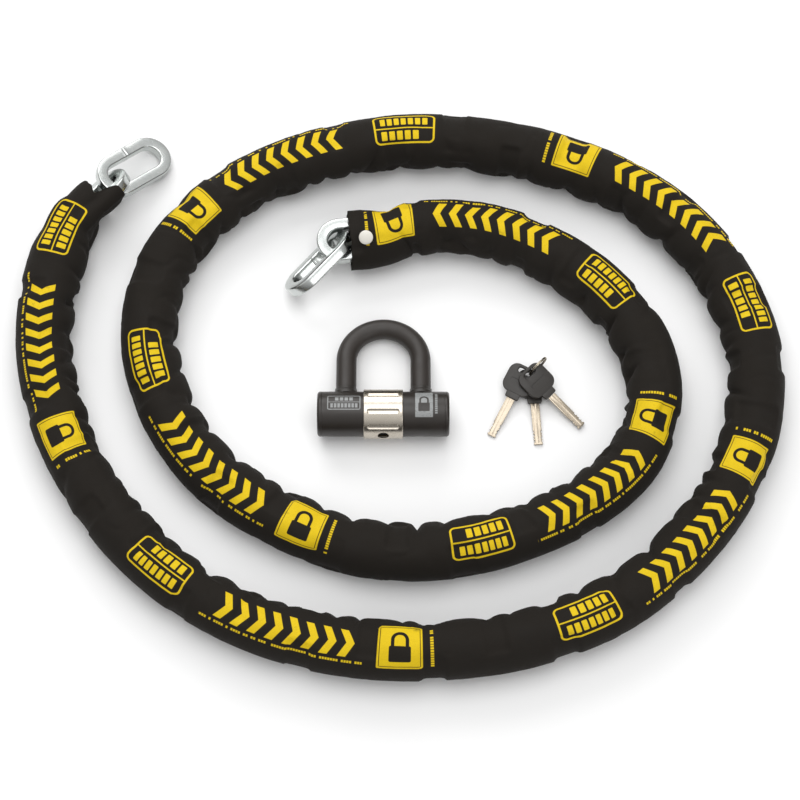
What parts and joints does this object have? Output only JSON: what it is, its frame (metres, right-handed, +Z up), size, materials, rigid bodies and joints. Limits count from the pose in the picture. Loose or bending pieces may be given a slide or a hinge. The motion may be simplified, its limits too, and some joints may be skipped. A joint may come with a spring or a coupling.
{
  "type": "chain lock",
  "caption": "Square-link security chain in a woven sleeve, laid in a spiral, with a mini D padlock that closes it and keys on a split ring.",
  "frame": {"origin": "centre of the bounding box, on the floor", "axes": "+X along the spiral's longer side, +Y towards the spiral's far side, +Z up; the padlock's shackle points to +Y"},
  "size_m": [0.688, 0.5372, 0.0524],
  "materials": {
    "fabric": "woven, matt black with a yellow print",
    "zinc": "bright zinc plating",
    "rivet": "off-white enamel",
    "black_coat": "satin black coating",
    "black_vinyl": "satin black vinyl",
    "nickel": "satin nickel plating",
    "steel": "hardened steel",
    "brass": "plain",
    "black_plastic": "fine-grained moulding",
    "nickel_silver": "satin, milled"
  },
  "bodies": {
    "chain": {"sleeve": "fabric", "rivet": "rivet", "rivet_washer": "rivet", "link_03": "zinc", "link_53": "zinc", "link_54": "zinc", "chain_run_01": "zinc", "chain_run_02": "zinc", "chain_run_03": "zinc", "chain_run_04": "zinc", "chain_run_05": "zinc", "chain_run_06": "zinc", "chain_run_07": "zinc"},
    "outer_hook_link": {"link_02": "zinc"},
    "outer_end_link": {"link_01": "zinc"},
    "inner_end_link": {"link_55": "zinc"},
    "shackle": {"shackle_bar": "steel", "shackle_jacket": "black_vinyl"},
    "crossbar": {"crossbar_housing": "black_coat", "lock_core": "steel", "end_cap_left": "black_plastic", "end_cap_right": "black_plastic", "leg_seal_left": "black_plastic", "leg_seal_right": "black_plastic", "cylinder_body": "brass"},
    "collar": {"keyhole_collar": "nickel"},
    "cylinder": {"drill_plate": "steel", "cylinder_plug": "brass", "sidebar": "steel", "cam": "steel", "disc_01": "brass", "disc_02": "brass", "disc_03": "brass", "disc_04": "brass", "disc_05": "brass", "disc_06": "brass", "disc_07": "brass", "disc_08": "brass"},
    "left_bolt": {"bolt_left": "steel"},
    "right_bolt": {"bolt_right": "steel"},
    "ring": {"key_ring": "nickel"},
    "left_key": {"key_head_left": "black_plastic", "key_blade_left": "nickel_silver"},
    "middle_key": {"key_head_middle": "black_plastic", "key_blade_middle": "nickel_silver"},
    "right_key": {"key_head_right": "black_plastic", "key_blade_right": "nickel_silver"}
  },
  "joints": [
    {"name": "outer_hook_swing", "type": "hinge", "parent": "chain", "child": "outer_hook_link", "pos_m": [-0.29765, 0.16409, 0.025], "axis": [0, 0, 1], "range_deg": [-2, 2]},
    {"name": "outer_link_lift", "type": "hinge", "parent": "outer_hook_link", "child": "outer_end_link", "pos_m": [-0.2675, 0.1995, 0.0226], "axis": [0.8446, -0.473, -0.2508], "range_deg": [0, 40]},
    {"name": "inner_link_lift", "type": "hinge", "parent": "chain", "child": "inner_end_link", "pos_m": [-0.0671, 0.1373, 0.0266], "axis": [-0.8613, 0.5081, 0.0098], "range_deg": [0, 40]},
    {"name": "padlock_lift", "type": "slide", "parent": "chain", "child": "shackle", "axis": [0, 0, 1], "range_m": [0, 0.15]},
    {"name": "crossbar_slide", "type": "slide", "parent": "shackle", "child": "crossbar", "axis": [0, -0.9891, 0.1475], "range_m": [0, 0.05]},
    {"name": "collar_turn", "type": "hinge", "parent": "crossbar", "child": "collar", "pos_m": [-0.0158, -0.026, 0.0223], "axis": [1, 0, 0], "range_deg": [0, 90]},
    {"name": "cylinder_turn", "type": "hinge", "parent": "crossbar", "child": "cylinder", "pos_m": [-0.0158, -0.026, 0.0223], "axis": [0, 0.9891, -0.1475], "range_deg": [0, 90]},
    {"name": "left_bolt_slide", "type": "slide", "parent": "crossbar", "child": "left_bolt", "axis": [-1, 0, 0], "range_m": [0, 0.0046]},
    {"name": "right_bolt_slide", "type": "slide", "parent": "crossbar", "child": "right_bolt", "axis": [1, 0, 0], "range_m": [0, 0.0046]},
    {"name": "keys_lift", "type": "slide", "parent": "chain", "child": "ring", "axis": [0, 0, 1], "range_m": [0, 0.15]},
    {"name": "left_key_swing", "type": "hinge", "parent": "ring", "child": "left_key", "pos_m": [0.119, 0.02, 0.01], "axis": [0, 0, 1], "range_deg": [0, 3]},
    {"name": "middle_key_swing", "type": "hinge", "parent": "ring", "child": "middle_key", "pos_m": [0.119, 0.02, 0.01], "axis": [0, 0, 1], "range_deg": [-2, 2]},
    {"name": "right_key_swing", "type": "hinge", "parent": "ring", "child": "right_key", "pos_m": [0.119, 0.02, 0.01], "axis": [0, 0, 1], "range_deg": [0, 3]}
  ],
  "couplings": [
    {"joint": "left_bolt_slide", "follows": "cylinder_turn", "m_per_rad": 0.00286},
    {"joint": "right_bolt_slide", "follows": "cylinder_turn", "m_per_rad": 0.00286}
  ]
}
